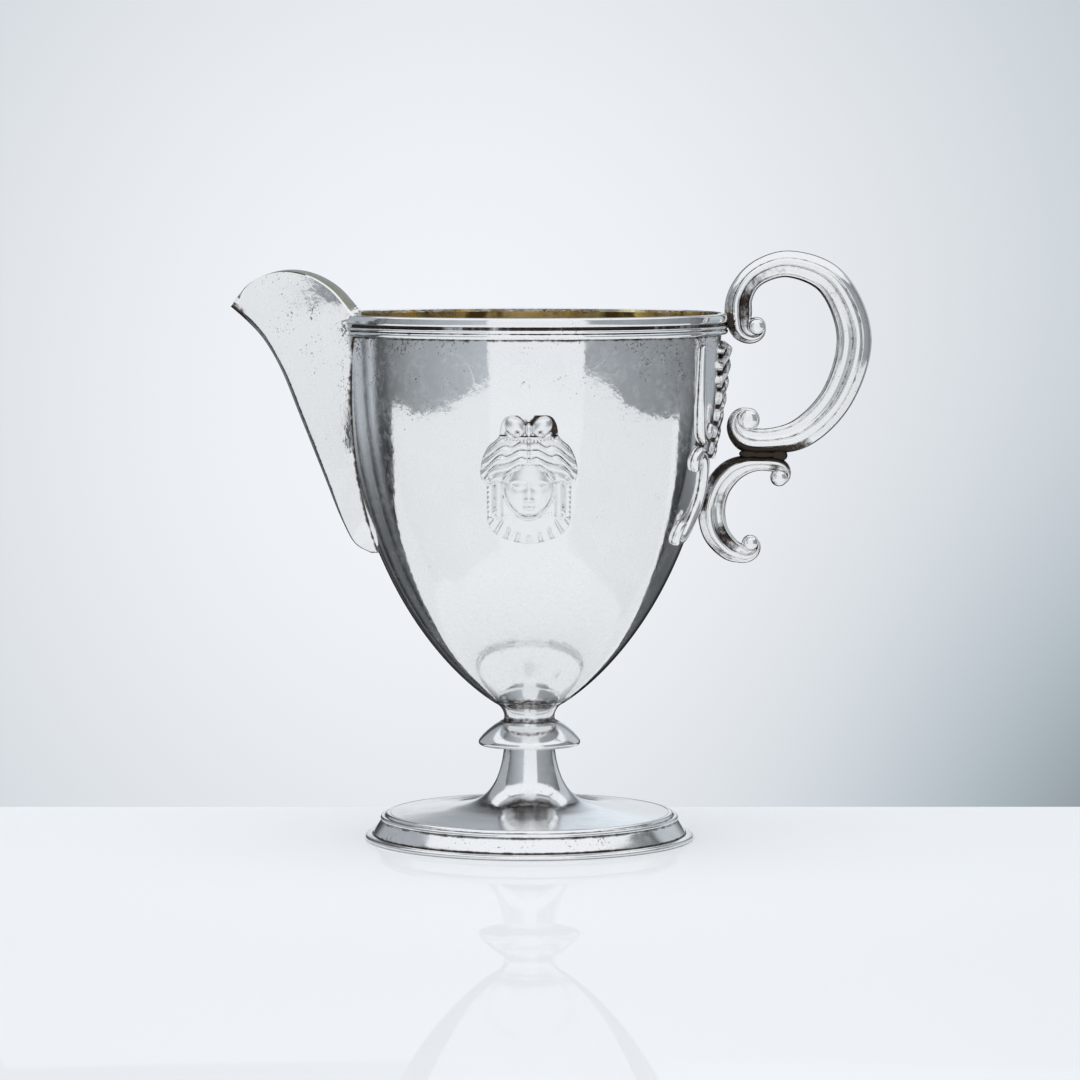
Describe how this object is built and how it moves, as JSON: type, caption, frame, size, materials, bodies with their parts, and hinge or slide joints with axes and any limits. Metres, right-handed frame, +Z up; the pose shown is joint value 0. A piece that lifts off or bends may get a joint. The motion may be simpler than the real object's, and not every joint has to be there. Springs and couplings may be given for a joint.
{
  "type": "cream jug",
  "caption": "Footed silver cream jug with an egg-shaped bowl gilt inside, a keeled pouring spout, a moulded rim, a scrolled handle and an applied head ornament.",
  "frame": {"origin": "on the surface the jug stands on, under the centre of its overall box; the upright axis of the bowl and foot is 5.9 mm from it towards the spout", "axes": "+X from the spout to the handle, +Y away from the side with the head ornament, +Z up"},
  "size_m": [0.1738, 0.108, 0.1602],
  "materials": {
    "polished_silver": "polished sheet silver, slightly wavy from the hammer, fine scratches, dark patina in the grooves",
    "cast_silver": "polished cast silver with brown-black patina in the recesses",
    "gilt_silver": "worn gilding on the inside of the bowl and the spout"
  },
  "bodies": {
    "root": {"bowl": "polished_silver", "spout": "polished_silver", "rim_moulding": "polished_silver", "neck_collar": "polished_silver", "knop_disc": "polished_silver", "trumpet_stem": "polished_silver", "foot_step_ring": "polished_silver", "foot_band": "polished_silver", "foot_base_wire": "polished_silver", "handle_upper_scroll": "cast_silver", "handle_lower_scroll": "cast_silver", "leaf_pendant": "cast_silver", "strap_scroll_near": "cast_silver", "strap_scroll_far": "cast_silver", "bracket_scroll_near": "cast_silver", "bracket_scroll_far": "cast_silver", "mask": "cast_silver"}
  },
  "joints": []
}
